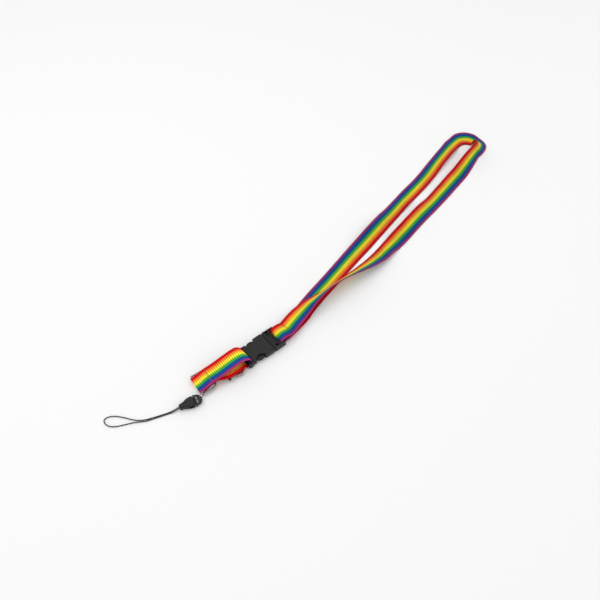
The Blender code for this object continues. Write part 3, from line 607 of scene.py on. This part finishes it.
def neck_stations():
    sewn_x, sewn_y = in_plan(BUCKLE_AT, BUCKLE_YAW, 28.0, 0.0)
    left_leg = [
        (sewn_x, sewn_y, 2.6, BUCKLE_YAW + 90.0, 0.0),
        lying(-133.5, -13.2, 82.0, 0.0, 3.4),
        lying(-128.5, -13.2, 86.0, 0.0, 3.7),
        lying(-118.0, -12.2, 93.0, 0.0, 2.4),
        lying(-107.0, -10.6, 96.0, 0.0, 0.6),
        lying(-96.0, -8.2, 97.0, 0.0),
        lying(-75.0, -5.6, 96.5, 0.0),
        lying(-45.0, -3.0, 96.5, 0.0),
        lying(-10.0, 0.2, 96.0, -4.0),
        lying(14.0, 1.4, 95.0, -15.0),
        lying(32.0, 2.8, 95.0, -20.0),
        lying(50.0, 4.5, 95.0, -18.0),
        lying(64.0, 6.2, 95.0, -10.0),
        lying(80.0, 7.7, 95.0, -1.0),
        lying(100.0, 9.3, 94.5, 4.0),
        lying(120.0, 10.6, 94.5, -1.0),
        lying(140.0, 11.6, 96.0, 3.0),
        lying(158.0, 13.3, 99.0, 3.0),
        lying(172.0, 15.3, 99.0, 4.0),
        lying(187.0, 17.4, 98.0, 9.0),
        lying(206.0, 19.8, 93.0, 10.0),
        lying(221.0, 21.4, 80.0, 9.0),
        lying(233.0, 22.6, 60.0, 0.0, 0.25),
    ]
    far_turn = [
        lying(242.5, 21.0, 40.0, -11.0, 0.1),
        lying(249.4, 16.0, 26.0, -12.0, 0.2),
        lying(253.6, 9.4, 12.0, -8.0, 0.4),
        lying(254.6, 2.4, -10.0, 4.0, 0.4),
        lying(252.0, -4.4, -38.0, 24.0, 0.2),
        lying(246.0, -9.0, -62.0, 44.0),
        lying(239.0, -11.4, -76.0, 54.0),
    ]
    right_leg = [
        lying(229.0, -12.0, -85.0, 56.0),
        lying(214.0, -13.3, -88.0, 42.0),
        lying(200.0, -15.0, -87.0, 31.0),
        lying(186.0, -16.5, -86.0, 24.0),
        lying(172.0, -17.0, -86.0, 16.0),
        lying(158.0, -17.8, -87.0, 11.0),
        lying(142.0, -18.8, -88.0, 8.0),
        lying(126.0, -19.5, -88.0, 4.0),
        lying(112.0, -20.4, -88.0, 14.0),
        lying(100.0, -21.2, -88.0, 24.0),
        lying(86.0, -22.0, -88.0, 27.0),
        lying(72.0, -22.9, -88.0, 27.0),
        lying(60.0, -23.6, -88.0, 25.0),
        lying(49.0, -23.8, -88.0, 18.0, 0.2),
        lying(39.0, -23.4, -88.0, 5.0, 0.2),
        lying(28.0, -23.5, -88.0, -7.0),
        lying(14.0, -24.2, -92.0, -13.0),
        lying(0.0, -23.8, -95.0, -22.0),
        lying(-13.0, -22.2, -96.0, -31.0),
        lying(-33.0, -19.1, -97.0, -45.0, 0.4),
        lying(-47.0, -16.8, -98.0, -53.0, 1.3),
        lying(-60.0, -14.6, -99.0, -55.0, 1.7),
        lying(-73.0, -12.8, -97.0, -50.0, 1.7),
        lying(-86.0, -11.0, -96.0, -36.0, 1.9),
        lying(-96.0, -10.2, -93.0, -22.0, 2.6),
        lying(-106.0, -10.4, -89.0, -10.0, 4.0),
        lying(-116.0, -11.3, -86.0, -3.0, 5.4),
        lying(-126.0, -12.6, -90.0, 0.0, 6.0),
        in_buckle(34.0, 7.0),
        in_buckle(28.0, 8.1),
    ]
    wrap = [
        in_buckle(24.2, 8.3),
        in_buckle(21.4, 7.5),
        in_buckle(19.6, 5.9),
        in_buckle(19.0, 4.0),
        in_buckle(19.8, 2.3),
        in_buckle(21.8, 1.65),
        in_buckle(24.4, 2.1),
    ]
    tab = [in_buckle(28.0, 3.9), in_buckle(33.0, 5.3), in_buckle(37.0, 5.5)]
    return left_leg + far_turn + right_leg + wrap + tab


def short_stations():
    side = FOLD_YAW - 90.0

    def at(x, z, y=0.0, turn=0.0, roll=0.0):
        px, py = in_plan(FOLD_AT, FOLD_YAW, x, y)
        return (px, py, z, side + turn, roll)

    reach, bar_z = 1.55, 3.4
    returning = [at(15.5, 7.1), at(12.5, 6.9), at(8.5, 4.9), at(4.5, 2.4)]
    fold = []
    for angle in (-75.0, -105.0, -135.0, -165.0, 165.0, 135.0, 105.0, 75.0):
        turn = math.radians(angle)
        fold.append(at(reach * math.cos(turn), bar_z + reach * math.sin(turn)))
    top = [
        at(4.0, 5.7),
        at(9.0, 7.7),
        at(14.0, 9.1),
        at(20.0, 9.6),
        at(27.0, 10.6, 0.2),
        at(34.0, 12.2, 0.2),
        at(40.0, 13.8, 0.0, 1.0),
        at(45.0, 14.9, -0.2, 2.0),
        at(49.0, 15.2, -0.4, 3.0),
    ]
    wrap = [
        in_buckle(-23.2, 14.2),
        in_buckle(-20.8, 12.0),
        in_buckle(-18.8, 9.0),
        in_buckle(-18.0, 6.2),
        in_buckle(-18.4, 3.6),
        in_buckle(-19.8, 1.9),
        in_buckle(-21.8, 1.5),
        in_buckle(-24.2, 1.9),
    ]
    lower = [
        at(49.8, 3.9, -1.0, 2.0),
        at(47.4, 5.8, -1.9, 0.0),
        at(43.5, 6.5, -3.2, -2.0),
        at(38.0, 6.6, -4.0, -2.0),
        at(32.0, 6.6, -3.6, -4.0),
        at(26.0, 6.8, -1.8, -5.0),
        at(19.0, 8.1, -0.2, -1.0),
        at(15.5, 8.2),
    ]
    return returning + fold + top + wrap + lower


def nearest_row(rows, place):
    return min(rows, key=lambda row: (row[0] - place).length)


STITCH_RADIUS = 0.30 * MM
STITCH_SPACING = 2.1 * MM
STITCH_LENGTH = 1.95 * MM
STITCH_STEPS = 8
STITCH_SIDES = 8


def stitch_line(name, row, colour, body, slant=0.0, face=1.0):
    """A run of short thread stitches across the ribbon at one row, on its up or down face."""
    centre, across, up, _ = row
    along = across.cross(up).normalized()
    count = int(RIBBON_WIDTH * 0.94 / STITCH_SPACING)
    mesh_data = bmesh.new()
    top = face * (RIBBON_THICK / 2 - 0.02 * MM)
    for k in range(count):
        middle = (k - (count - 1) / 2) * STITCH_SPACING
        rings = []
        for i in range(STITCH_STEPS + 1):
            t = i / STITCH_STEPS
            place = middle + (t - 0.5) * STITCH_LENGTH
            hump = math.sin(math.pi * t)
            rise = top + face * 0.12 * MM * hump
            point = centre + across * place + along * (slant * place) + up * rise
            thick = STITCH_RADIUS * (0.45 + 0.55 * math.sqrt(hump))
            ring = []
            for j in range(STITCH_SIDES):
                a = TURN * j / STITCH_SIDES
                outwards = along * thick * math.cos(a) + up * thick * 0.7 * math.sin(a)
                ring.append(mesh_data.verts.new(point + outwards))
            rings.append(ring)
        for first, second in zip(rings, rings[1:]):
            for j in range(STITCH_SIDES):
                after = (j + 1) % STITCH_SIDES
                corners = (first[j], first[after], second[after], second[j])
                mesh_data.faces.new(corners).smooth = True
        mesh_data.faces.new(rings[0])
        mesh_data.faces.new(rings[-1])
    obj = placed_mesh(name, mesh_data)
    obj.data.materials.append(thread_material(name, colour))
    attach(obj, body)
    return obj


# ---------------------------------------------------------------- string


STRING_DIAMETER = 1.0 * MM
# From the clip's hole to the connector's mouth, and the mouth's height, in mm
MOUTH_REACH, MOUTH_HEIGHT = 21.5, 2.9


def string_points():
    """The string's route in metres, and the point where its first end leaves the connector."""
    mouth_x, mouth_y = in_plan(CLIP_HOLE, CONNECTOR_YAW, MOUTH_REACH, 0.0)
    mouth = Vector((mouth_x, mouth_y, MOUTH_HEIGHT))
    yaw = math.radians(CONNECTOR_YAW)
    along = Vector((math.cos(yaw), math.sin(yaw), 0.0))
    across = Vector((-along.y, along.x, 0.0))
    start, z = 0.65, 0.55
    down = Vector((0.0, 0.0, 1.1))
    route = [
        mouth - along * 2.5 - across * start,
        mouth + along * 1.0 - across * start,
        mouth + along * 4.0 - across * start - down,
        Vector((-276.6, 8.4, z + 0.2)),
        Vector((-283.0, 11.9, z)),
        Vector((-290.0, 15.7, z)),
        Vector((-296.5, 19.8, z)),
        Vector((-301.5, 24.5, z)),
        Vector((-305.0, 30.0, z)),
        Vector((-308.2, 36.5, z)),
        Vector((-312.0, 43.0, z)),
        Vector((-317.0, 48.0, z)),
        Vector((-322.0, 49.0, z)),
        Vector((-324.2, 45.0, z)),
        Vector((-323.0, 39.5, z)),
        Vector((-318.5, 34.5, z)),
        Vector((-312.0, 30.0, z)),
        Vector((-305.5, 25.6, z)),
        Vector((-299.6, 20.3, z)),
        Vector((-296.0, 17.5, z)),
        Vector((-289.3, 13.9, z)),
        Vector((-282.3, 10.2, z)),
        Vector((-275.9, 6.8, z + 0.2)),
        mouth + along * 4.0 + across * start - down,
        mouth + along * 1.0 + across * start,
        mouth - along * 2.5 + across * start,
    ]
    points = smooth_path([point * MM + CENTRING for point in route], 0.9 * MM)
    return points, (mouth - across * start) * MM + CENTRING


def make_string():
    points, leaves = string_points()
    length = sum((b - a).length for a, b in zip(points, points[1:]))
    curve = bpy.data.curves.new("phone_string", "CURVE")
    curve.dimensions = "3D"
    curve.bevel_depth = STRING_DIAMETER / 2
    curve.bevel_resolution = 3
    curve.use_fill_caps = True
    spline = curve.splines.new("POLY")
    spline.points.add(len(points) - 1)
    for target, point in zip(spline.points, points):
        target.co = (*point, 1.0)
    spline.use_smooth = True
    obj = placed("phone_string", curve)
    braid = braid_material("string_braid", srgb(36, 36, 40), length, STRING_DIAMETER)
    curve.materials.append(braid)
    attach(obj, "string_end")
    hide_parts("phone_loop_cord")


# ---------------------------------------------------------------- putting it together


def dress_frame():
    """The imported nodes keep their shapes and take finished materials."""
    buckle = plastic_material("buckle_plastic", srgb(22, 21, 20), 0.46, 2600.0)
    connector = plastic_material("connector_plastic", srgb(15, 15, 16), 0.24, 3200.0)
    # The nickel's colour is partly the plating's warm grey and partly painted reflection: darker,
    # as if it mirrored dark surroundings.
    nickel = metal_material("nickel_plate", (0.36, 0.32, 0.29), 0.18, 700.0)
    steel = metal_material("spring_wire", (0.56, 0.55, 0.55), 0.30, 1200.0)
    finishes = {
        buckle: ["buckle_plug", "plug_arm_left", "plug_arm_right", "buckle_socket"],
        connector: ["connector_clip", "clip_arm_left", "clip_arm_right", "connector_body"],
        nickel: ["d_ring", "swivel_eye", "swivel_rivet", "hook_body", "hook_gate", "link_ring"],
        steel: ["gate_pin", "gate_spring"],
    }
    for material, names in finishes.items():
        for name in names:
            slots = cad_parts[name].data.materials
            slots.clear()
            slots.append(material)


def make_ribbons():
    neck, neck_rows = woven_ribbon("neck_ribbon", neck_stations(), 1.2 * MM)
    neck.data.materials.append(ribbon_material("neck_weave", 0.0, 1.0, neck_rows[-1][3]))
    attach(neck, "neck")
    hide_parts("neck_strap")

    pitch, rib_height, step = 2.2 * MM, 0.2 * MM, 0.4 * MM
    stations = short_stations()
    under_bar = Vector(in_buckle(-21.8, 1.5)[:3]) * MM + CENTRING
    turn_at = nearest_row(ribbon_rows(stations, step), under_bar)[3]
    short, short_rows = woven_ribbon(
        "short_ribbon", stations, step, pitch, rib_height, reversed_from=turn_at
    )
    short.data.materials.append(ribbon_material("short_weave", pitch, 1.30))
    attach(short, "socket")
    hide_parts("short_strap")

    dull_red, dull_orange = srgb(104, 20, 16), srgb(176, 92, 58)
    neck_top = nearest_row(neck_rows, Vector((-0.1290, -0.0142, 0.0068)))
    neck_thread = stitch_line("neck_stitches", neck_top, dull_red, "neck", slant=-0.05)
    short_x, short_y = in_plan(FOLD_AT, FOLD_YAW, 13.0, 0.0)
    beside = Vector((short_x * MM + CENTRING.x, short_y * MM, 0.0090))
    short_top = nearest_row(short_rows, beside)
    short_thread = stitch_line("short_stitches", short_top, dull_orange, "socket", face=-1.0)


make_camera()
make_string()
make_studio()
make_ribbons()
dress_frame()
